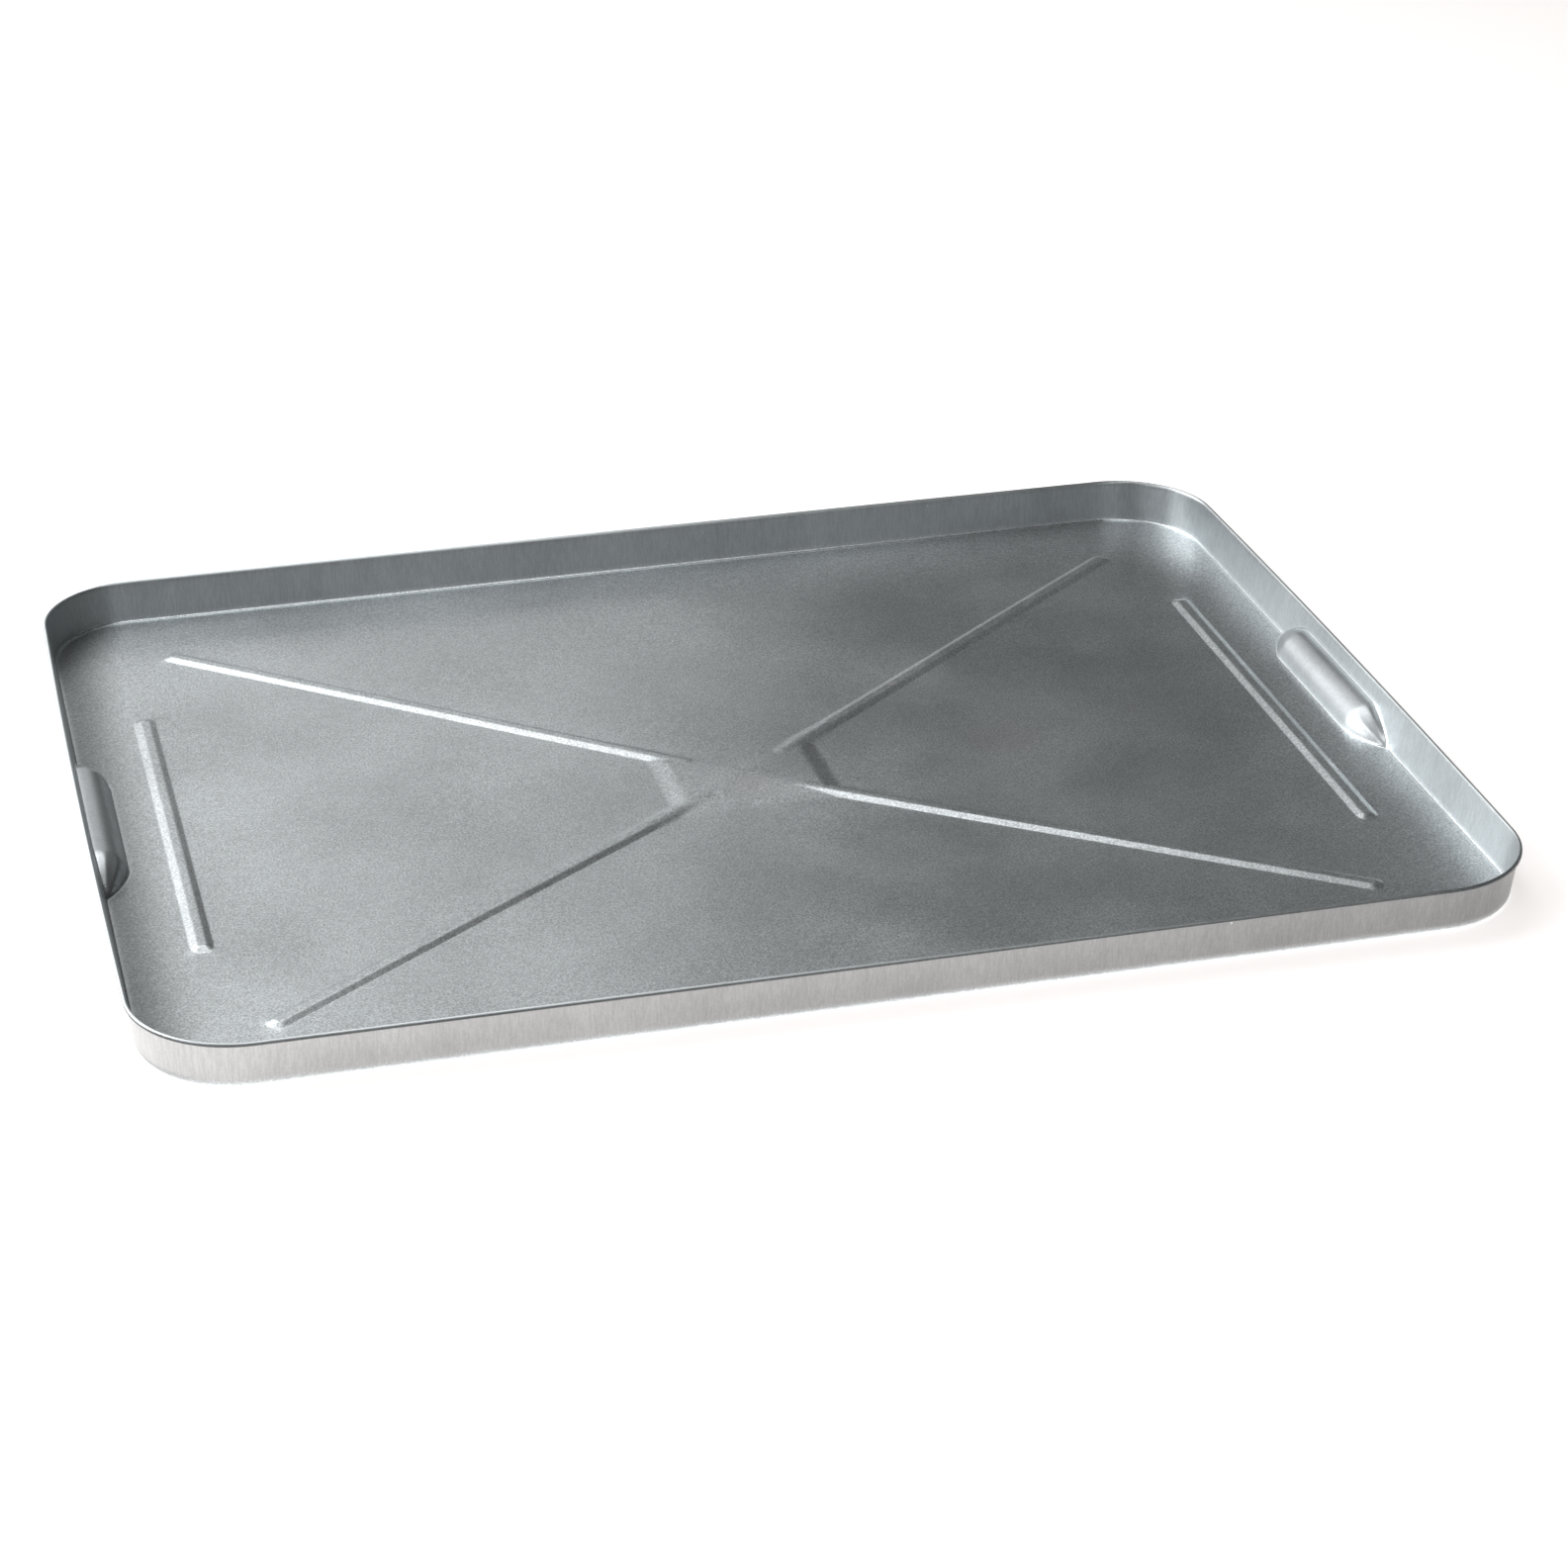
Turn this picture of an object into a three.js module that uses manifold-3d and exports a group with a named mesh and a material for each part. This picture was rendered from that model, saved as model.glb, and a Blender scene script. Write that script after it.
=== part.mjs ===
// Oil drain pan: one sheet of galvanised steel pressed into a shallow rectangular tray.
// The sheet forms the floor, the sloping walls, the lip, two finger recesses in the end walls,
// two short ribs beside them, four diagonal ribs and the raised centre that they run into.
//
// Millimetres, +Z up. X runs along the pan, Y across it. The origin is the middle of the
// underside, on the surface that the pan rests on.

import * as THREE from 'three';
import { mergeVertices } from 'three/addons/utils/BufferGeometryUtils.js';
import Module from 'manifold-3d';

const wasm = await Module();
wasm.setup();

// Driving dimensions.
const LENGTH = 571.5; // over the lip, at the corners (22.5 in)
const WIDTH = 444.5; // over the lip, at the corners (17.5 in)
const HEIGHT = 20.5;
const SHEET = 0.7; // 24 gauge
const CORNER_RADIUS = 44.8; // of the lip, in plan
const END_BOW = 1.5; // how far the lip bows out in the middle of each end wall
const SIDE_BOW = 0.5; // the same on each long wall

// Walls and lip.
const FOOT_INSET = 3.5; // from the lip's outer edge in to the foot of the wall
const BEND_RADIUS = 2.0; // outside radius between floor and wall
const LIP_WIDTH = 1.1; // how far the lip stands out past the wall
const LIP_DEPTH = 1.8;

// Pressed features of the floor.
const RIB_WIDTH = 9.8;
const RIB_HEIGHT = 1.3;
const RIBS_Y = -2.4; // the middle of the pattern of ribs, a little towards the front
const SHORT_RIB_X = 248;
const LEFT_RIB_HALF_LENGTH = 111; // the two short ribs aren't quite alike
const RIGHT_RIB_HALF_LENGTH = 119;
const DIAGONAL_TIP_X = 230.5;
const DIAGONAL_TIP_Y = 176; // from RIBS_Y
const CENTRE_Y = -14.4; // the raised centre stands further towards the front
const CENTRE_HALF_X = 37.5;
const CENTRE_HALF_Y = 31;
const CENTRE_BAND_X = 7; // width of the steep slopes at its two ends
const CENTRE_BAND_Y = 9; // width of the soft slopes at its front and back
const CENTRE_PEAK = 2.2;

// Finger recesses: each is a round hollow lying along the foot of an end wall.
const RECESS_RADIUS = 12.4;
const RECESS_Y = 3;
const RECESS_STRAIGHT_HALF = 39; // half of the stretch with the full radius
const RECESS_TAPER = 23; // from there to the pointed end

// Fineness of the curves.
const CORNER_STEPS = 10;
const SIDE_STEPS = 10;
const BEND_STEPS = 4;
const CIRCLE_STEPS = 32;
const TAPER_STEPS = 8;

// ---------------------------------------------------------------- solids and geometries

// Joins rings of points, all of one count and in the same turning sense, into a closed solid.
function solidFromRings(rings) {
  const count = rings[0].length;
  const positions = [];
  const triangles = [];
  for (const ring of rings) {
    for (const point of ring) positions.push(point.x, point.y, point.z);
  }
  for (let r = 0; r + 1 < rings.length; r += 1) {
    for (let i = 0; i < count; i += 1) {
      const next = (i + 1) % count;
      const a = r * count + i;
      const b = r * count + next;
      triangles.push(a, b, b + count, a, b + count, a + count);
    }
  }
  closeEnd(rings[0], 0, true);
  closeEnd(rings[rings.length - 1], (rings.length - 1) * count, false);
  return solidFromGeometry(geometryFrom(positions, triangles));

  function closeEnd(ring, first, flipped) {
    const middle = new THREE.Vector3();
    for (const point of ring) middle.add(point);
    middle.divideScalar(count);
    const centre = positions.length / 3;
    positions.push(middle.x, middle.y, middle.z);
    for (let i = 0; i < count; i += 1) {
      const a = first + i;
      const b = first + ((i + 1) % count);
      if (flipped) triangles.push(centre, b, a);
      else triangles.push(centre, a, b);
    }
  }
}

function geometryFrom(positions, triangles) {
  const geometry = new THREE.BufferGeometry();
  geometry.setAttribute('position', new THREE.Float32BufferAttribute(positions, 3));
  geometry.setIndex(triangles);
  return geometry;
}

function solidFromGeometry(geometry) {
  const merged = mergeVertices(geometry, 1e-5);
  return new wasm.Manifold(new wasm.Mesh({
    numProp: 3,
    vertProperties: new Float32Array(merged.attributes.position.array),
    triVerts: new Uint32Array(merged.index.array),
  }));
}

function geometryFromSolid(solid) {
  const mesh = solid.getMesh();
  const geometry = geometryFrom(Array.from(mesh.vertProperties), Array.from(mesh.triVerts));
  geometry.computeVertexNormals();
  return geometry;
}

// ---------------------------------------------------------------- the tray

// The pan's outline at one height, moved in from the lip's outer edge by inset.
// Each side bows out a little towards the lip, because the sheet springs back there.
function trayOutline(inset, z) {
  const halfX = LENGTH / 2 - inset;
  const halfY = WIDTH / 2 - inset;
  const radius = CORNER_RADIUS - inset;
  const bowShare = Math.min(Math.max(z / HEIGHT, 0), 1);
  const points = [];
  for (let side = 0; side < 4; side += 1) {
    const onEnd = side % 2 === 0;
    const reach = onEnd ? halfX : halfY;
    const run = (onEnd ? halfY : halfX) - radius;
    const bow = (onEnd ? END_BOW : SIDE_BOW) * bowShare;
    const angle = (side * Math.PI) / 2;
    const out = new THREE.Vector3(Math.cos(angle), Math.sin(angle), 0);
    const along = new THREE.Vector3(-out.y, out.x, 0);
    for (let i = 1; i < SIDE_STEPS; i += 1) {
      const s = (2 * i) / SIDE_STEPS - 1;
      const point = out.clone().multiplyScalar(reach + bow * (1 - s * s));
      points.push(point.addScaledVector(along, run * s).setZ(z));
    }
    const corner = out.clone().multiplyScalar(reach - radius).addScaledVector(along, run);
    for (let i = 0; i <= CORNER_STEPS; i += 1) {
      const turn = angle + (i / CORNER_STEPS) * (Math.PI / 2);
      points.push(new THREE.Vector3(
        corner.x + radius * Math.cos(turn),
        corner.y + radius * Math.sin(turn),
        z,
      ));
    }
  }
  return points;
}

const DRAFT = Math.atan((FOOT_INSET - LIP_WIDTH) / HEIGHT);

function wallInset(z) {
  return LIP_WIDTH + (FOOT_INSET - LIP_WIDTH) * (1 - z / HEIGHT);
}

// Inset of the centre of the bend between floor and wall.
const BEND_INSET = wallInset(BEND_RADIUS * (1 - Math.sin(DRAFT))) + BEND_RADIUS * Math.cos(DRAFT);

// The bend as inset and height, from the floor up to the wall.
function bendProfile(radius) {
  const profile = [];
  for (let i = 0; i <= BEND_STEPS; i += 1) {
    const turn = (i / BEND_STEPS) * (Math.PI / 2 - DRAFT);
    profile.push([
      BEND_INSET - radius * Math.sin(turn),
      BEND_RADIUS - radius * Math.cos(turn),
    ]);
  }
  return profile;
}

function outerBody() {
  const lipFoot = HEIGHT - LIP_DEPTH;
  const profile = [
    ...bendProfile(BEND_RADIUS),
    [wallInset(lipFoot), lipFoot],
    [0.35, lipFoot],
    [0, lipFoot + 0.4],
    [0, HEIGHT - 0.7],
    [0.3, HEIGHT - 0.2],
    [0.8, HEIGHT],
  ];
  return solidFromRings(profile.map(([inset, z]) => trayOutline(inset, z)));
}

function innerSpace() {
  const wall = (z) => wallInset(z) + SHEET / Math.cos(DRAFT);
  const profile = [
    ...bendProfile(BEND_RADIUS - SHEET),
    [wall(HEIGHT - 1.2), HEIGHT - 1.2],
    [wall(HEIGHT) - 0.15, HEIGHT - 0.5],
    [1.2, HEIGHT],
    [1.2, HEIGHT + 5],
  ];
  return solidFromRings(profile.map(([inset, z]) => trayOutline(inset, z)));
}

// ---------------------------------------------------------------- pressed features
// Each feature is a solid standing on the height `lift`. With lift = SHEET it is the bump inside
// the pan, and with lift = 0 it is the hollow that the same pressing leaves in the underside.

// Half of a rib's section, from its edge to its middle: share of half width, share of height.
const RIB_SECTION = [[1, 0], [0.9, 0.1], [0.45, 0.88], [0.3, 1], [0, 1]];

// A rib's rounded end: distance from the tip, share of width, share of height.
const RIB_END = [[0, 0.45, 0.05], [1.5, 0.75, 0.6], [3.5, 0.94, 0.92], [6, 1, 1]];

function rib(start, end, lift, roundedEnds) {
  const along = end.clone().sub(start);
  const length = along.length();
  along.normalize();
  const across = new THREE.Vector3(-along.y, along.x, 0);
  const stations = RIB_END.slice();
  const far = RIB_END.map(([s, width, height]) => [length - s, width, height]).reverse();
  if (roundedEnds === 2) stations.push(...far);
  else stations.push([length, 1, 1]);
  return solidFromRings(stations.map(([s, width, height]) => ring(s, width, height)));

  function ring(s, width, height) {
    const place = (share, z) => start.clone().addScaledVector(along, s)
      .addScaledVector(across, (share * width * RIB_WIDTH) / 2).setZ(z);
    const points = [place(1, lift - 1)];
    for (const [share, rise] of RIB_SECTION) {
      points.push(place(share, lift + rise * height * RIB_HEIGHT));
    }
    for (const [share, rise] of RIB_SECTION.slice(0, -1).reverse()) {
      points.push(place(-share, lift + rise * height * RIB_HEIGHT));
    }
    points.push(place(-1, lift - 1));
    return points;
  }
}

function shortRib(sign, lift) {
  const half = sign < 0 ? LEFT_RIB_HALF_LENGTH : RIGHT_RIB_HALF_LENGTH;
  const start = new THREE.Vector3(sign * SHORT_RIB_X, RIBS_Y - half, 0);
  const end = new THREE.Vector3(sign * SHORT_RIB_X, RIBS_Y + half, 0);
  return rib(start, end, lift, 2);
}

// A diagonal rib runs from its rounded tip to just inside the raised centre's corner.
function diagonalRib(signX, signY, lift) {
  const tip = new THREE.Vector3(signX * DIAGONAL_TIP_X, RIBS_Y + signY * DIAGONAL_TIP_Y, 0);
  const centre = new THREE.Vector3(0, CENTRE_Y, 0);
  return rib(tip, centre.lerp(tip, 0.12), lift, 1);
}

// The raised centre: slopes on four sides, and a top that rises to a low peak.
function raisedCentre(lift) {
  const rectangle = (bandShare, z) => {
    const halfX = CENTRE_HALF_X - bandShare * CENTRE_BAND_X;
    const halfY = CENTRE_HALF_Y - bandShare * CENTRE_BAND_Y;
    const cut = 5;
    const corners = [
      [halfX, -halfY + cut], [halfX, halfY - cut], [halfX - cut, halfY], [-halfX + cut, halfY],
      [-halfX, halfY - cut], [-halfX, -halfY + cut], [-halfX + cut, -halfY], [halfX - cut, -halfY],
    ];
    return corners.map(([x, y]) => new THREE.Vector3(x, CENTRE_Y + y, z));
  };
  const rings = [
    rectangle(0, lift - 1),
    rectangle(0, lift),
    rectangle(1, lift + RIB_HEIGHT),
  ];
  const peak = new THREE.Vector3(0, CENTRE_Y, lift + CENTRE_PEAK);
  rings.push(rings[2].map((point) => point.clone().lerp(peak, 0.98)));
  return solidFromRings(rings);
}

// A finger recess: a round bar along the foot of the end wall, pointed at both ends.
function recess(sign, radius) {
  const footX = sign * (LENGTH / 2 - FOOT_INSET);
  const stations = [];
  for (let i = 0; i <= TAPER_STEPS; i += 1) {
    const t = i / TAPER_STEPS;
    const share = Math.max((1 - t ** 1.4) ** 0.8, 0.02);
    stations.push([RECESS_STRAIGHT_HALF + t * RECESS_TAPER, share]);
  }
  const backToFront = [
    ...stations.slice().reverse().map(([y, share]) => [RECESS_Y + y, share]),
    ...stations.map(([y, share]) => [RECESS_Y - y, share]),
  ];
  return solidFromRings(backToFront.map(([y, share]) => {
    const points = [];
    for (let i = 0; i < CIRCLE_STEPS; i += 1) {
      const turn = (i / CIRCLE_STEPS) * 2 * Math.PI;
      const reach = radius * share;
      points.push(new THREE.Vector3(footX + reach * Math.cos(turn), y, reach * Math.sin(turn)));
    }
    return points;
  }));
}

function floorFeatures(lift) {
  const features = [raisedCentre(lift)];
  for (const signX of [-1, 1]) {
    features.push(shortRib(signX, lift));
    for (const signY of [-1, 1]) features.push(diagonalRib(signX, signY, lift));
  }
  return features;
}

// ---------------------------------------------------------------- the pan

function subtractAll(solid, tools) {
  return tools.reduce((rest, tool) => rest.subtract(tool), solid);
}

function makePan() {
  const hollows = [...floorFeatures(0), recess(-1, RECESS_RADIUS - SHEET), recess(1, RECESS_RADIUS - SHEET)];
  const bumps = [...floorFeatures(SHEET), recess(-1, RECESS_RADIUS), recess(1, RECESS_RADIUS)];
  const body = subtractAll(outerBody(), hollows);
  const space = subtractAll(innerSpace(), bumps);
  const galvanised = new THREE.MeshStandardMaterial({
    color: new THREE.Color(0.56, 0.58, 0.58),
    roughness: 0.38,
    metalness: 1.0,
  });
  const mesh = new THREE.Mesh(geometryFromSolid(body.subtract(space)), galvanised);
  mesh.name = 'pan';
  return mesh;
}

const drainPan = new THREE.Group();
drainPan.name = 'oil_drain_pan';
drainPan.add(makePan());

export default drainPan;
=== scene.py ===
import math

import bpy
import numpy as np
from mathutils import Matrix, Vector, geometry


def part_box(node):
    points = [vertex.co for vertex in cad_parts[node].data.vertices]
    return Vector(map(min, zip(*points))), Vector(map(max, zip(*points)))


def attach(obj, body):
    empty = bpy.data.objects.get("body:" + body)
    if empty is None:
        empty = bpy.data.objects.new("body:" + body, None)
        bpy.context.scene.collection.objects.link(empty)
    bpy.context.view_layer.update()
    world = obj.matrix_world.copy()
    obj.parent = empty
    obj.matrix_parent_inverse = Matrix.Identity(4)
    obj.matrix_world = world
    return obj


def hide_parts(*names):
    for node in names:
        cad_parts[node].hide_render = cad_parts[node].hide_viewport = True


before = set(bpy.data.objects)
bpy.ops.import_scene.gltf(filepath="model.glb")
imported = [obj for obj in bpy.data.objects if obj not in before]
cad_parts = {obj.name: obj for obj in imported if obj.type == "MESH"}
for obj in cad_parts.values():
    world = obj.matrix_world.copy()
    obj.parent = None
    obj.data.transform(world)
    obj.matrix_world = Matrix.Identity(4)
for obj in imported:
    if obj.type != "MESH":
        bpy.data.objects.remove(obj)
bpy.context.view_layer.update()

# The oil drain pan as one pressed sheet of galvanised steel, in metres. The CAD node gives
# the overall size. This script gives the same shape with the soft bends, creases and dents
# of real sheet, a galvanised surface, the studio floor, the lights and the camera.

MM = 0.001

# ---------------------------------------------------------------- the pan's dimensions

END_BOW = 1.5 * MM              # the lip bows out this far in the middle of an end wall
SIDE_BOW = 0.5 * MM
SHEET = 0.7 * MM
CORNER_RADIUS = 44.8 * MM       # of the lip, in plan
FOOT_INSET = 3.5 * MM           # from the lip's outer edge in to the foot of the wall
LIP_WIDTH = 1.1 * MM
LIP_DEPTH = 1.3 * MM            # the wall's inner face ends this far below the lip's top

low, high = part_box("pan")
HEIGHT = high.z
LIP_BOW_SHARE = 1 - 0.7 * MM / HEIGHT
HALF_LENGTH = high.x - END_BOW * LIP_BOW_SHARE
HALF_WIDTH = high.y - SIDE_BOW * LIP_BOW_SHARE

DRAFT = math.atan((FOOT_INSET - LIP_WIDTH) / HEIGHT)
SKIN = SHEET / math.cos(DRAFT)  # the wall's thickness measured level

# Where the inner faces of floor and wall would meet without their bend.
FOLD_INSET = LIP_WIDTH + (FOOT_INSET - LIP_WIDTH) * (1 - SHEET / HEIGHT) + SKIN
FOLD_SOFTNESS = 0.8 * MM        # half width of the bend along the sheet

RIB_HALF_WIDTH = 4.9 * MM
RIB_CREST_SHARE = 0.36          # how much of its width is the flat crest
RIB_END_STRETCH = 1.25          # how much longer a rib's end slope is than its flanks are wide
RIB_END_BLUNTNESS = 3           # 2 would be an ellipse
RIB_END = RIB_HALF_WIDTH * RIB_END_STRETCH
RIB_HEIGHT = 1.3 * MM
RIBS_Y = -2.4 * MM              # the middle of the pattern of ribs
SHORT_RIB_X = 248 * MM
SHORT_RIB_HALF_LENGTHS = {-1: 111 * MM, 1: 119 * MM}
DIAGONAL_TIP = Vector((230.5, 176)) * MM
CENTRE_Y = -14.4 * MM
CENTRE_HALF = Vector((37.5, 31)) * MM
CENTRE_BAND = Vector((7, 9)) * MM
CENTRE_SOFT_BAND = 11 * MM      # how much wider the front and back slopes are in their middle
CENTRE_PEAK = 2.2 * MM
BLEND_POWER = 6                 # how tightly ribs and centre run into each other

RECESS_RADIUS = 12.4 * MM - SHEET
RECESS_Y = 3 * MM
RECESS_STRAIGHT_HALF = 39 * MM
RECESS_TAPER = 23 * MM

# ---------------------------------------------------------------- sheet shape, inner face


def smooth_min(a, b, width):
    """The lower of a and b, rounded off where they come within width of each other."""
    h = np.clip(0.5 + 0.5 * (b - a) / width, 0, 1)
    return b * (1 - h) + a * h - width * h * (1 - h)


def smooth_max(a, b, width):
    return -smooth_min(-a, -b, width)


def ribs():
    """Start and end of each rib's crest in plan, from its tip, short ribs first."""
    lines = []
    for sx in (-1, 1):
        reach = SHORT_RIB_HALF_LENGTHS[sx] - RIB_END
        x = sx * SHORT_RIB_X
        lines.append((Vector((x, RIBS_Y - reach)), Vector((x, RIBS_Y + reach))))
    centre = Vector((0, CENTRE_Y))
    for sx in (-1, 1):
        for sy in (-1, 1):
            tip = Vector((sx * DIAGONAL_TIP.x, RIBS_Y + sy * DIAGONAL_TIP.y))
            tip -= (tip - centre).normalized() * RIB_END
            lines.append((tip, centre.lerp(tip, 0.1)))
    return lines


RIBS = ribs()


def rib_height(x, y, start, end):
    """Height of one rib: straight flanks, a flat crest and round ends."""
    along = (end - start).normalized()
    beside = ((y - start.y) * along.x - (x - start.x) * along.y) / RIB_HALF_WIDTH
    t = (x - start.x) * along.x + (y - start.y) * along.y
    past = (np.maximum(-t, 0) + np.maximum(t - (end - start).length, 0)) / RIB_END
    away = (abs(beside) ** RIB_END_BLUNTNESS + past ** RIB_END_BLUNTNESS) ** (1 / RIB_END_BLUNTNESS)
    flank = (1 - away) / (1 - RIB_CREST_SHARE)
    return RIB_HEIGHT * smooth_max(smooth_min(flank, 1 + 0 * away, 0.16), 0 * away, 0.1)


def centre_height(x, y):
    """Height of the raised centre: slopes to a low peak, with soft creases to its corners."""
    ax, ay = np.abs(x), np.abs(y - CENTRE_Y)
    band_x = (CENTRE_HALF.x - ax) / CENTRE_BAND.x
    softer = CENTRE_SOFT_BAND * np.clip(1 - (ax / CENTRE_HALF.x) ** 2, 0, 1)
    band_y = (CENTRE_HALF.y - ay) / (CENTRE_BAND.y + softer)
    skirt = smooth_min(smooth_min(band_y, 1 + 0 * ax, 0.5), band_x, 0.15)
    skirt = smooth_max(skirt, 0 * ax, 0.08)
    away = smooth_max(ax / CENTRE_HALF.x, ay / CENTRE_HALF.y, 0.04)
    return skirt * (RIB_HEIGHT + (CENTRE_PEAK - RIB_HEIGHT) * (1 - away))


def floor_waves(x, y):
    """The slight unevenness of a large thin floor."""
    waves = 0.22 + 0.10 * np.sin(x / 0.061 + 0.8) * np.sin(y / 0.047 + 2.1)
    waves += 0.07 * np.sin(x / 0.033 + y / 0.052 + 1.3)
    waves += 0.05 * np.sin(x / 0.021 - y / 0.029 + 4.0)
    edge = np.minimum(HALF_LENGTH - np.abs(x), HALF_WIDTH - np.abs(y))
    rise = np.clip((edge - 0.025) / 0.08, 0, 1)
    return waves * MM * rise ** 2 * (3 - 2 * rise)


def floor_height(x, y):
    """Height of the floor's inner face."""
    powers = centre_height(x, y) ** BLEND_POWER
    for start, end in RIBS:
        powers = powers + rib_height(x, y, start, end) ** BLEND_POWER
    return SHEET + powers ** (1 / BLEND_POWER) + floor_waves(x, y)


def recess_radius(y):
    """Radius of a finger recess at y, inner face: straight, then drawn in to a point."""
    t = np.clip((np.abs(y - RECESS_Y) - RECESS_STRAIGHT_HALF) / RECESS_TAPER, 0, 1)
    return RECESS_RADIUS * (1 - t ** 1.4) ** 0.8, t


def section_line(w, radius, pucker):
    """The inner face across floor and wall, as distance in from the fold and height.

    w runs along the section: negative on the floor, 0 at the fold, positive up the wall.
    Within radius of the fold the sheet is pushed in to an arc around it.
    """
    quarter = math.pi / 2 + DRAFT
    safe = np.maximum(radius, 1e-9)
    turn = np.clip((w + radius) / (2 * safe), 0, 1) * quarter
    arc = radius * (1 + pucker * np.sin(11 * turn))
    on_arc = np.abs(w) < radius
    inward = np.where(w < 0, -w, -w * math.sin(DRAFT))
    height = np.where(w < 0, 0 * w, w * math.cos(DRAFT))
    return (
        np.where(on_arc, arc * np.cos(turn), inward),
        np.where(on_arc, arc * np.sin(turn), height) + SHEET,
    )


def section(w, radius, pucker):
    """section_line with its corners rounded by averaging along the section."""
    offsets = np.linspace(-1, 1, 9)
    weights = 1 - 0.8 * offsets ** 2
    weights /= weights.sum()
    inward = height = 0
    for offset, weight in zip(offsets, weights):
        a, z = section_line(w + offset * FOLD_SOFTNESS, radius, pucker)
        inward = inward + weight * a
        height = height + weight * z
    return inward, height


# ---------------------------------------------------------------- mesh of the pan

FLOOR_EDGE = 24 * MM            # the ringed part of the mesh reaches this far in from the fold
FLOOR_RINGS = [-20 * MM, -17 * MM]
BEND_RINGS = (-14.6 * MM, 14.4 * MM, 41)    # first, last and number of the close rings
WALL_RINGS_START = 15.2 * MM
RIB_STEP = 5 * MM               # between points along a rib
CENTRE_MARGIN = Vector((9, 9)) * MM     # the fine grid reaches this far past the centre
FINE_STEP = 1.3 * MM            # between points of the fine grid
COARSE_STEP = 9 * MM            # between points of the plain floor

BEND_MARK = 1.3 * MM            # half width of the painted highlight line along an inner bend and the painted shade line along an outer bend
WALL_FADE = 3 * MM              # the floor's surface turns into the wall's over this length


def stations():
    """Points around the fold: place, inward direction, bow of the lip and place along an end."""
    fold_x, fold_y = HALF_LENGTH - FOLD_INSET, HALF_WIDTH - FOLD_INSET
    radius = CORNER_RADIUS - FOLD_INSET
    rows = []
    for side in range(4):
        on_end = side % 2 == 0
        reach, run = (fold_x, fold_y - radius) if on_end else (fold_y, fold_x - radius)
        bow = END_BOW if on_end else SIDE_BOW
        angle = side * math.pi / 2
        out = np.array((math.cos(angle), math.sin(angle)))
        along = np.array((-out[1], out[0]))
        if on_end:
            reach_y = RECESS_STRAIGHT_HALF + RECESS_TAPER + 4 * MM
            dense = RECESS_Y + np.linspace(-reach_y, reach_y, 93)
            outer = np.concatenate((
                np.linspace(-run, dense[0], 10)[:-1], dense, np.linspace(dense[-1], run, 10)[1:],
            ))
            steps = np.sort(outer * along[1])[1:-1]
        else:
            steps = np.linspace(-run, run, 27)[1:-1]
        for s in steps:
            rows.append((out * reach + along * s, -out, bow * (1 - (s / run) ** 2), on_end))
        middle = out * (reach - radius) + along * run
        for turn in np.linspace(angle, angle + math.pi / 2, 21):
            away = np.array((math.cos(turn), math.sin(turn)))
            rows.append((middle + away * radius, -away, 0.0, False))
    place = np.array([r[0] for r in rows])
    inward = np.array([r[1] for r in rows])
    bow = np.array([r[2] for r in rows])
    on_end = np.array([r[3] for r in rows])
    return place, inward, bow, on_end


PLACE, INWARD, BOW, ON_END = stations()


def ring_point(inward, height):
    """World points of one ring from each station's distance in from the fold and height."""
    reach = inward - BOW * np.clip(height / HEIGHT, 0, 1)
    xy = PLACE + INWARD * np.asarray(reach)[:, None]
    return np.column_stack((xy, np.broadcast_to(height, len(xy))))


def inner_ring(w):
    """One ring of the inner face at w along the section."""
    radius, t = recess_radius(PLACE[:, 1])
    radius = np.where(ON_END, radius, 0)
    pucker = 0.018 * np.sin(math.pi * t)
    inward, height = section(np.full(len(PLACE), w), radius, pucker)
    ring = ring_point(inward, height)
    if w < 0:
        ring[:, 2] += floor_height(ring[:, 0], ring[:, 1]) - SHEET
    return ring


def ring_radius():
    """The recess radius at each point of a ring: 0 away from the recesses."""
    return np.where(ON_END, recess_radius(PLACE[:, 1])[0], 0)


def ring_bend(w):
    """How sharply the sheet is bent at each point of a ring: 1 along a bend's middle."""
    return np.exp(-((abs(w) - ring_radius()) / BEND_MARK) ** 2)


def ring_wall(w):
    """0 on the floor and 1 on the walls, as a number for each point of a ring."""
    return np.clip((w + ring_radius()) / WALL_FADE, 0, 1)


def outer_ring(w):
    """The matching ring of the outer face: the inner one moved by the sheet's thickness."""
    step = 0.25 * MM
    here = inner_ring(w)
    up = inner_ring(w + step) - inner_ring(w - step)
    around = np.roll(here, -1, 0) - np.roll(here, 1, 0)
    normal = np.cross(up, around)
    normal /= np.linalg.norm(normal, axis=1)[:, None]
    return here - normal * SHEET


# The lip's rounded section: distance in from its outer edge, and distance below its top.
LIP_SECTION = [
    (1.78, 0.85), (1.62, 0.5), (1.38, 0.22), (1.1, 0.06), (0.8, 0.0), (0.5, 0.05), (0.24, 0.22),
    (0.07, 0.45), (0.0, 0.75), (0.0, 1.1), (0.05, 1.35), (0.18, 1.55), (0.4, 1.68), (0.75, 1.72),
    (1.1, 1.74), (1.3, 1.85),
]
# Painted light at each of those places: 1 is a painted highlight, -1 is painted shade.
LIP_PAINTED_LIGHT = [0.8, 1, 1, 1, 1, 1, 0.3, -0.6, -1, -1, -0.5, 0, 0, 0, 0, 0]


def lip_rings():
    rings = []
    for inset, drop in LIP_SECTION:
        height = np.full(len(PLACE), HEIGHT - drop * MM)
        rings.append(ring_point(inset * MM - FOLD_INSET, height))
    return rings


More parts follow.
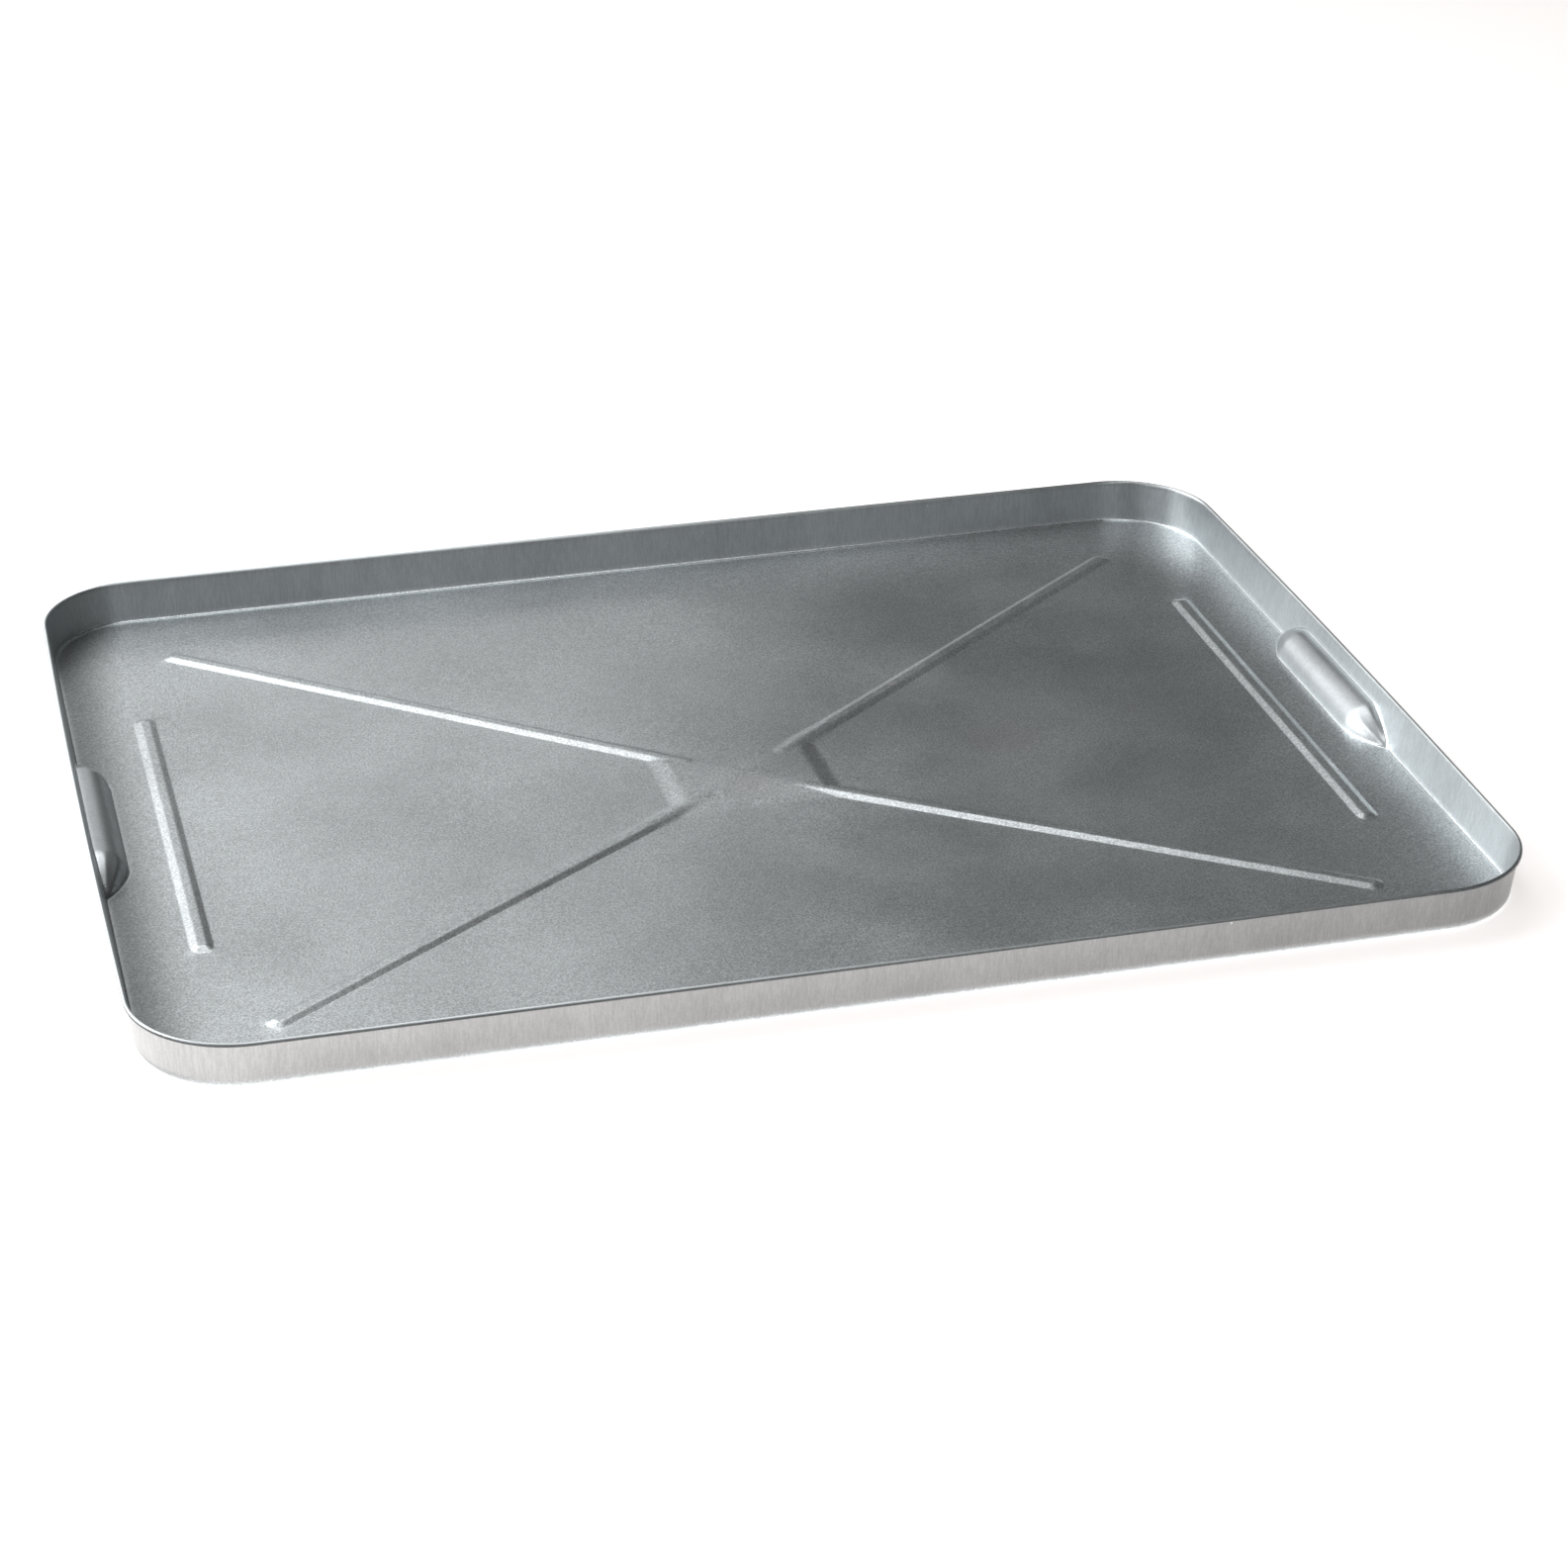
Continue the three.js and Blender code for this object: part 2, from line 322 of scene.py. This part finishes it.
def wall_steps():
    """Places of the rings along the section, from the floor to just under the lip."""
    top = (HEIGHT - LIP_DEPTH - SHEET) / math.cos(DRAFT)
    bend = list(np.linspace(*BEND_RINGS))
    return [-FLOOR_EDGE] + FLOOR_RINGS + bend + list(np.linspace(WALL_RINGS_START, top, 4))


def floor_points(boundary):
    """Plan points and fixed edges of the floor inside the rings, denser along the ribs."""
    points = [tuple(p) for p in boundary]
    edges = [(i, (i + 1) % len(points)) for i in range(len(points))]
    zone = CENTRE_HALF + CENTRE_MARGIN
    shares = np.array((0, 0.2, 0.28, 0.36, 0.44, 0.55, 0.75, 0.9, 0.96, 1.02, 1.1))
    offsets = np.concatenate((-shares[:0:-1], shares)) * RIB_HALF_WIDTH

    def in_zone(x, y, margin=0.0):
        return abs(x) < zone.x + margin and abs(y - CENTRE_Y) < zone.y + margin

    def add_line(line):
        first = len(points)
        points.extend(line)
        edges.extend((i, i + 1) for i in range(first, len(points) - 1))

    for start, end in RIBS:
        along = (end - start).normalized()
        across = Vector((-along.y, along.x))
        length = (end - start).length
        whole = abs(along.x) < 1e-6
        count = round(length / RIB_STEP)
        for offset in offsets:
            line = []
            for i in range(count + 1):
                p = start + along * (length * i / count) + across * offset
                if not in_zone(p.x, p.y, 1 * MM):
                    line.append((p.x, p.y))
            add_line(line)
        ends = [(start, -along)] + ([(end, along)] if whole else [])
        for tip, out in ends:
            side = Vector((-out.y, out.x))
            for reach in shares[1:] * RIB_HALF_WIDTH:
                for turn in np.linspace(0, math.pi, 13)[1:-1]:
                    p = tip + side * reach * math.cos(turn)
                    p += out * reach * RIB_END_STRETCH * math.sin(turn)
                    points.append((p.x, p.y))

    nx, ny = math.ceil(zone.x / FINE_STEP), math.ceil(zone.y / FINE_STEP)
    for i in range(-nx, nx + 1):
        for j in range(-ny, ny + 1):
            points.append((i * zone.x / nx, CENTRE_Y + j * zone.y / ny))

    half_x = HALF_LENGTH - FOLD_INSET - FLOOR_EDGE
    half_y = HALF_WIDTH - FOLD_INSET - FLOOR_EDGE
    inner = CORNER_RADIUS - FOLD_INSET - FLOOR_EDGE
    for x in np.arange(-half_x + COARSE_STEP / 2, half_x, COARSE_STEP):
        for y in np.arange(-half_y + COARSE_STEP / 2, half_y, COARSE_STEP):
            past = Vector((max(abs(x) - half_x + inner, 0), max(abs(y) - half_y + inner, 0)))
            if past.length > inner - 3 * MM or in_zone(x, y, 4 * MM):
                continue
            near = min(rib_distance(Vector((x, y)), *rib) for rib in RIBS)
            if near > RIB_END + 1 * MM:
                points.append((x, y))
    return points, edges


def rib_distance(point, start, end):
    run = end - start
    t = min(max((point - start).dot(run) / run.length_squared, 0), 1)
    return (point - start - run * t).length


def make_floor(inner_edge, outer_edge):
    """Vertices and faces of both faces of the floor, given the ring vertices at its edge."""
    points, edges = floor_points(inner_edge[:, :2])
    loop = list(range(len(inner_edge)))
    verts, _, faces, origin, _, _ = geometry.delaunay_2d_cdt(
        [Vector(p) for p in points], edges, [loop], 1, 1e-7)
    xy = np.array([tuple(v) for v in verts])
    top = np.column_stack((xy, floor_height(xy[:, 0], xy[:, 1])))
    step = 0.2 * MM
    slope_x = floor_height(xy[:, 0] + step, xy[:, 1]) - floor_height(xy[:, 0] - step, xy[:, 1])
    slope_y = floor_height(xy[:, 0], xy[:, 1] + step) - floor_height(xy[:, 0], xy[:, 1] - step)
    normal = np.column_stack((-slope_x, -slope_y, np.full(len(xy), 2 * step)))
    normal /= np.linalg.norm(normal, axis=1)[:, None]
    bottom = top - normal * SHEET
    edge_of = {}
    for i, sources in enumerate(origin):
        for source in sources:
            if source < len(inner_edge):
                edge_of[i] = source
    return top, bottom, faces, edge_of


def mark(mesh, name, ring_values):
    """Stores a number at each point of the rings, and 0 at all points of the floor."""
    values = np.zeros(len(mesh.vertices))
    on_rings = np.concatenate(ring_values)
    values[:len(on_rings)] = on_rings
    mesh.attributes.new(name, "FLOAT", "POINT").data.foreach_set("value", values)


def mark_surfaces(mesh, steps):
    """Tells the material where the bends, the walls, their outsides and the lip's painted highlight
    and painted shade are.
    """
    count = len(PLACE)
    plain = [np.zeros(count)] * len(steps)
    plain_lip = [np.zeros(count)] * len(LIP_SECTION)
    # the lip's painted highlight and painted shade
    painted_lip = [np.full(count, wear) for wear in LIP_PAINTED_LIGHT]
    bends = [ring_bend(w) for w in steps]
    walls = [ring_wall(w) for w in steps]
    mark(mesh, "bend", bends + plain_lip + bends[::-1])
    mark(mesh, "wall", walls + [np.ones(count)] * len(LIP_SECTION) + walls[::-1])
    mark(mesh, "outside", plain + plain_lip + walls[::-1])
    mark(mesh, "lip_painted_light", plain + painted_lip + plain)


def make_pan():
    steps = wall_steps()
    rings = [inner_ring(w) for w in steps]
    rings += lip_rings()
    rings += [outer_ring(w) for w in reversed(steps)]
    count = len(PLACE)
    verts = list(np.concatenate(rings))
    faces = []
    for r in range(len(rings) - 1):
        for i in range(count):
            j = (i + 1) % count
            faces.append((r * count + i, (r + 1) * count + i, (r + 1) * count + j, r * count + j))
    top, bottom, floor_faces, edge_of = make_floor(rings[0], rings[-1])
    last = (len(rings) - 1) * count
    for layer, edge_start, flip in ((top, 0, False), (bottom, last, True)):
        index = {}
        for i, point in enumerate(layer):
            if i in edge_of:
                index[i] = edge_start + edge_of[i]
            else:
                index[i] = len(verts)
                verts.append(point)
        for face in floor_faces:
            corners = [index[i] for i in face]
            faces.append(tuple(reversed(corners)) if flip else tuple(corners))
    mesh = bpy.data.meshes.new("pressed_pan")
    mesh.from_pydata([tuple(v) for v in verts], [], faces)
    mark_surfaces(mesh, steps)
    for polygon in mesh.polygons:
        polygon.use_smooth = True
    pan = bpy.data.objects.new("pressed_pan", mesh)
    bpy.context.scene.collection.objects.link(pan)
    return pan


# ---------------------------------------------------------------- materials

ZINC = (0.60, 0.635, 0.65)
OUTSIDE_PAINTED_TINT = (0.92, 0.87, 0.85)  # painted warm light and shade: the outsides of the walls are a touch warmer and darker
RUST = (0.20, 0.11, 0.07, 1)
SMUDGE = (0.50, 0.42, 0.40, 1)
UPRIGHT = (1, 1, 0.02)          # stretches a texture into upright lines
NOISE_RANGE = (0.3, 0.7)        # most values of a noise lie in it
SCRATCH_ANGLES = (0.35, -0.6)
RUST_MARKS = ((88, 57, 3.2 * MM), (79, 51, 1.6 * MM))               # x and y in mm, radius
SMUDGES = ((125, -9, 26 * MM, 0.22), (2, -26, 20 * MM, 0.18))       # the same, and strength
LEFT_SHADE_WIDTH = 26 * MM            # of the painted shade on the floor at the left end
LEFT_SHADE_WAVINESS = 16 * MM
LIP_HIGHLIGHT_FADE = (-0.1, 0.28)      # the lip's painted highlight fades between these places along X


def node(tree, kind, inputs=None, **settings):
    """Adds a shader node. inputs maps a socket's name or number to a value or to a socket."""
    made = tree.nodes.new(kind)
    for key, value in settings.items():
        setattr(made, key, value)
    for key, value in (inputs or {}).items():
        if isinstance(value, bpy.types.NodeSocket):
            tree.links.new(value, made.inputs[key])
        else:
            made.inputs[key].default_value = value
    return made


def calculate(tree, operation, *values, clamp=False):
    made = node(tree, "ShaderNodeMath", dict(enumerate(values)), operation=operation)
    made.use_clamp = clamp
    return made.outputs[0]


def noise(tree, place, scale, detail=2.0, roughness=0.5):
    """Smooth random values, most of them in NOISE_RANGE."""
    inputs = {"Vector": place, "Scale": scale, "Detail": detail, "Roughness": roughness}
    return node(tree, "ShaderNodeTexNoise", inputs).outputs["Fac"]


def stretched(tree, place, scale, angle=0.0):
    """place turned about Z by angle and stretched, so that a texture gets longer that way."""
    turned = node(tree, "ShaderNodeVectorRotate", {"Vector": place, "Angle": angle},
                  rotation_type="Z_AXIS").outputs[0]
    return node(tree, "ShaderNodeMapping", {"Vector": turned, "Scale": scale}).outputs[0]


def ramp(tree, value, start, end, low=0.0, high=1.0):
    """Runs smoothly from low to high as value goes from start to end."""
    inputs = {"Value": value, "From Min": start, "From Max": end, "To Min": low, "To Max": high}
    return node(tree, "ShaderNodeMapRange", inputs, interpolation_type="SMOOTHSTEP").outputs[0]


def spot(tree, place, x, y, radius, ragged):
    """1 in a spot of the floor, fading to 0 at radius, with an edge roughened by ragged."""
    centre = Vector((x, y, 0)) * MM
    away = node(tree, "ShaderNodeVectorMath", {0: place, 1: centre}, operation="DISTANCE").outputs[1]
    wobble = calculate(tree, "MULTIPLY_ADD", ragged, radius * 1.4, -radius * 0.7)
    return ramp(tree, calculate(tree, "ADD", away, wobble), radius, radius * 0.25)


def blend(tree, share, base, top):
    """Colour from base to top by share."""
    return node(tree, "ShaderNodeMix", {0: share, 6: base, 7: top}, data_type="RGBA").outputs[2]


def flecks(tree, place):
    """Small bright specks, scattered: the middles of a few of many random cells."""
    cells = node(tree, "ShaderNodeTexVoronoi", {"Vector": place, "Scale": 95.0})
    chosen = calculate(tree, "GREATER_THAN", cells.outputs["Color"], 0.80)
    middle = ramp(tree, cells.outputs["Distance"], 0.055, 0.02)
    return calculate(tree, "MULTIPLY", chosen, middle)


def scratches(tree, place, angle):
    """Faint, thin, broken lines in one direction."""
    lines = noise(tree, stretched(tree, place, (22, 900, 30), angle), 1.0, 1.0)
    patches = noise(tree, stretched(tree, place, (1, 1, 1), angle), 26.0, 1.0)
    thin = ramp(tree, lines, 0.70, 0.78)
    return calculate(tree, "MULTIPLY", thin, ramp(tree, patches, 0.5, 0.62))


def attribute(tree, name):
    """A number that mark() stored on the mesh."""
    return node(tree, "ShaderNodeAttribute", attribute_name=name).outputs["Fac"]


def multiply(tree, first, *others):
    """The product of two or more sockets or numbers."""
    for other in others:
        first = calculate(tree, "MULTIPLY", first, other)
    return first


def mix(tree, share, base, top):
    """The number from base to top by share."""
    return node(tree, "ShaderNodeMix", {0: share, 2: base, 3: top}).outputs[0]


def steel_tone(tree, place, grain, draw_lines, cloud, wear):
    """How light the steel is painted at each place, painted shade and highlights included: 1 is its
    plain colour.
    """
    bend, on_wall, outside, lip_painted_light = (
        attribute(tree, name) for name in ("bend", "wall", "outside", "lip_painted_light"))
    across = node(tree, "ShaderNodeSeparateXYZ", {0: place}).outputs["X"]

    # Zinc grain on the floor, and draw lines with finer grain on the walls.
    coarse_grain = noise(tree, place, 330.0, 2.0, 0.6)
    wide_lines = noise(tree, stretched(tree, place, UPRIGHT), 120.0, 2.0, 0.6)
    grainy = multiply(tree, ramp(tree, grain, *NOISE_RANGE, 0.67, 1.25),
                      ramp(tree, coarse_grain, *NOISE_RANGE, 0.94, 1.06))
    lined = multiply(tree, ramp(tree, draw_lines, *NOISE_RANGE, 0.90, 1.04),
                     ramp(tree, wide_lines, *NOISE_RANGE, 0.97, 1.03),
                     ramp(tree, grain, *NOISE_RANGE, 0.95, 1.05))
    tone = mix(tree, on_wall, grainy, lined)
    tone = multiply(tree, tone, ramp(tree, cloud, *NOISE_RANGE, 0.92, 1.06))

    # Painted shade on the floor along the left end, beside the left wall.
    shade_edge = calculate(tree, "MULTIPLY_ADD", cloud, LEFT_SHADE_WAVINESS, -HALF_LENGTH)
    shade_depth = calculate(tree, "SUBTRACT", across, shade_edge)
    painted_left_shade = ramp(tree, shade_depth, 0.0, LEFT_SHADE_WIDTH, 0.42, 1.0)
    tone = multiply(tree, tone, mix(tree, on_wall, painted_left_shade, 1.0))

    # The lip: painted shade on its outer half, and a painted highlight on its inner half that fades
    # to the right.
    tone = multiply(tree, tone, ramp(tree, lip_painted_light, -1.0, 0.0, 0.2, 1.0))
    lip_highlight = multiply(tree, lip_painted_light, ramp(tree, across, *LIP_HIGHLIGHT_FADE, 1.5, 0.5))
    tone = calculate(tree, "MAXIMUM", tone, lip_highlight)

    # Painted shade: the outer walls get darker to the right.
    painted_right_shade = ramp(tree, across, -HALF_LENGTH, HALF_LENGTH, 1.04, 0.64)
    tone = multiply(tree, tone, mix(tree, outside, 1.0, painted_right_shade))

    # Scratches and flecks, a painted shade line along the outer bends, a painted highlight line
    # along the inner.
    tone = calculate(tree, "MULTIPLY_ADD", wear, 0.25, tone)
    tone = calculate(tree, "MULTIPLY_ADD", flecks(tree, place), 0.8, tone)
    painted_bend_shade = multiply(tree, bend, outside)
    painted_bend_highlight = calculate(tree, "SUBTRACT", bend, painted_bend_shade)
    tone = multiply(tree, tone, ramp(tree, painted_bend_shade, 0.0, 1.0, 1.0, 0.5))
    return calculate(tree, "MULTIPLY_ADD", painted_bend_highlight, 0.55, tone)


def steel_colour(tree, place, tone, rust, cloud):
    """Zinc grey, with painted warm light and shade on the outsides of the walls, with rust and faint
    smudges.
    """
    zinc = node(tree, "ShaderNodeVectorMath", {0: ZINC, "Scale": tone}, operation="SCALE").outputs[0]
    painted_warmth = node(tree, "ShaderNodeVectorMath", {0: zinc, 1: OUTSIDE_PAINTED_TINT}, operation="MULTIPLY")
    colour = blend(tree, attribute(tree, "outside"), zinc, painted_warmth.outputs[0])
    colour = blend(tree, multiply(tree, rust, 0.6), colour, RUST)
    for x, y, radius, strength in SMUDGES:
        smudge = spot(tree, place, x, y, radius, cloud)
        colour = blend(tree, multiply(tree, smudge, strength), colour, SMUDGE)
    return colour


def galvanised_steel():
    """Zinc-coated sheet: grainy, cool grey, with draw lines up its walls and light wear."""
    material = bpy.data.materials.new("galvanised_steel")
    material.use_nodes = True
    tree = material.node_tree
    tree.nodes.clear()
    place = node(tree, "ShaderNodeTexCoord").outputs["Object"]
    bend, on_wall = attribute(tree, "bend"), attribute(tree, "wall")

    grain = noise(tree, place, 1100.0, 3.0, 0.6)
    draw_lines = noise(tree, stretched(tree, place, UPRIGHT), 1200.0, 2.0, 0.6)
    cloud = noise(tree, place, 11.0, 4.0, 0.55)
    ragged = noise(tree, place, 240.0, 3.0, 0.6)
    wear = calculate(tree, "ADD", *(scratches(tree, place, angle) for angle in SCRATCH_ANGLES))
    wear = multiply(tree, wear, calculate(tree, "SUBTRACT", 1.0, on_wall))
    rust = calculate(tree, "MAXIMUM", *(
        spot(tree, place, x, y, radius, ragged) for x, y, radius in RUST_MARKS))
    tone = steel_tone(tree, place, grain, draw_lines, cloud, wear)
    colour = steel_colour(tree, place, tone, rust, cloud)

    rough = ramp(tree, cloud, *NOISE_RANGE, 0.33, 0.38)
    rough = calculate(tree, "MULTIPLY_ADD", wear, -0.06, rough)
    rough = calculate(tree, "MULTIPLY_ADD", bend, -0.12, rough)
    rough = calculate(tree, "MULTIPLY_ADD", rust, 0.3, rough, clamp=True)
    relief = multiply(tree, on_wall, draw_lines)
    relief = calculate(tree, "MULTIPLY_ADD", grain, 0.7, relief)
    relief = calculate(tree, "MULTIPLY_ADD", wear, -0.4, relief)
    bump = node(tree, "ShaderNodeBump", {
        "Strength": 0.12, "Distance": 0.05 * MM, "Height": relief}).outputs[0]
    shader = node(tree, "ShaderNodeBsdfPrincipled", {
        "Base Color": colour, "Metallic": 0.85, "Roughness": rough, "Normal": bump}).outputs[0]
    node(tree, "ShaderNodeOutputMaterial", {"Surface": shader})
    return material


def pale_floor():
    material = bpy.data.materials.new("studio_floor")
    material.use_nodes = True
    shader = material.node_tree.nodes["Principled BSDF"]
    shader.inputs["Base Color"].default_value = (0.92, 0.92, 0.92, 1)
    shader.inputs["Roughness"].default_value = 0.8
    shader.inputs["Emission Color"].default_value = (1.0, 0.96, 0.94, 1)
    shader.inputs["Emission Strength"].default_value = 0.66
    return material


# ---------------------------------------------------------------- camera and lights

LENS = 87.472                   # focal length for a picture SENSOR wide, both in real mm
SENSOR = 36.0
SHIFT = 0.06164                 # the frame is moved this share of its width to the right
AZIMUTH, ELEVATION, ROLL = math.radians(-13.131), math.radians(26.769), math.radians(-0.627)
DISTANCE = 1675.03 * MM
AIM_OFFSET = Vector((21.18, 9.12)) * MM
LIGHT_DISTANCE = 1.6
STUDIO_REACH = 12.0
STUDIO_GAP = 0.2 * MM           # between the studio floor and the pan, so they don't overlap


def view_axes(azimuth, elevation):
    """Right, up and back directions of a camera that looks at the origin."""
    back = Vector((
        math.sin(azimuth) * math.cos(elevation),
        -math.cos(azimuth) * math.cos(elevation),
        math.sin(elevation),
    ))
    right = Vector((0, 0, 1)).cross(back).normalized()
    return right, back.cross(right), back


def make_camera():
    right, up, back = view_axes(AZIMUTH, ELEVATION)
    turned_right = right * math.cos(ROLL) + up * math.sin(ROLL)
    turned_up = up * math.cos(ROLL) - right * math.sin(ROLL)
    place = back * DISTANCE - turned_right * AIM_OFFSET.x - turned_up * AIM_OFFSET.y
    data = bpy.data.cameras.new("camera")
    data.sensor_width = SENSOR
    data.lens = LENS
    data.shift_x = SHIFT
    camera = bpy.data.objects.new("camera", data)
    turn = Matrix((turned_right, turned_up, back)).transposed()
    camera.matrix_world = Matrix.Translation(place) @ turn.to_4x4()
    bpy.context.scene.collection.objects.link(camera)
    bpy.context.scene.camera = camera


def area_light(name, azimuth, elevation, power, size=0.8):
    """A soft square light that faces the pan's middle from LIGHT_DISTANCE away."""
    data = bpy.data.lights.new(name, "AREA")
    data.shape = "SQUARE"
    data.size = size
    data.energy = power
    lamp = bpy.data.objects.new(name, data)
    right, up, back = view_axes(math.radians(azimuth), math.radians(elevation))
    turn = Matrix((right, up, back)).transposed()
    lamp.matrix_world = Matrix.Translation(back * LIGHT_DISTANCE) @ turn.to_4x4()
    bpy.context.scene.collection.objects.link(lamp)


def make_studio():
    mesh = bpy.data.meshes.new("studio_floor")
    corners = [(x * STUDIO_REACH, y * STUDIO_REACH, -STUDIO_GAP)
               for x, y in ((-1, -1), (1, -1), (1, 1), (-1, 1))]
    mesh.from_pydata(corners, [], [(0, 1, 2, 3)])
    ground = bpy.data.objects.new("studio_floor", mesh)
    mesh.materials.append(pale_floor())
    bpy.context.scene.collection.objects.link(ground)

    world = bpy.data.worlds.new("studio")
    world.use_nodes = True
    background = world.node_tree.nodes["Background"]
    background.inputs["Color"].default_value = (1, 1, 1, 1)
    background.inputs["Strength"].default_value = 0.0
    bpy.context.scene.world = world
    bpy.context.scene.view_settings.view_transform = "Standard"

    # Azimuth 0 is the camera's side of the pan, and 90 is its right end.
    area_light("left_front", -60, 32, 3.0)
    area_light("left_back", -120, 32, 24.0, 1.6)
    area_light("behind_left", -150, 28, 2.1, 1.0)
    area_light("behind", -174, 27, 1.4, 1.0)
    area_light("front_low", 10, 27, 1.5)
    area_light("front_high", 0, 68, 3.8)
    area_light("back_low", 180, 12, 0.5)
    area_light("back_middle", -174, 60, 3.2)
    area_light("back_right", 138, 36, 0.25)
    area_light("back_high", 180, 68, 1.3)


# ---------------------------------------------------------------- the scene

make_camera()
pan = make_pan()
pan.data.materials.append(galvanised_steel())
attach(pan, "root")
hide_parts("pan")
make_studio()
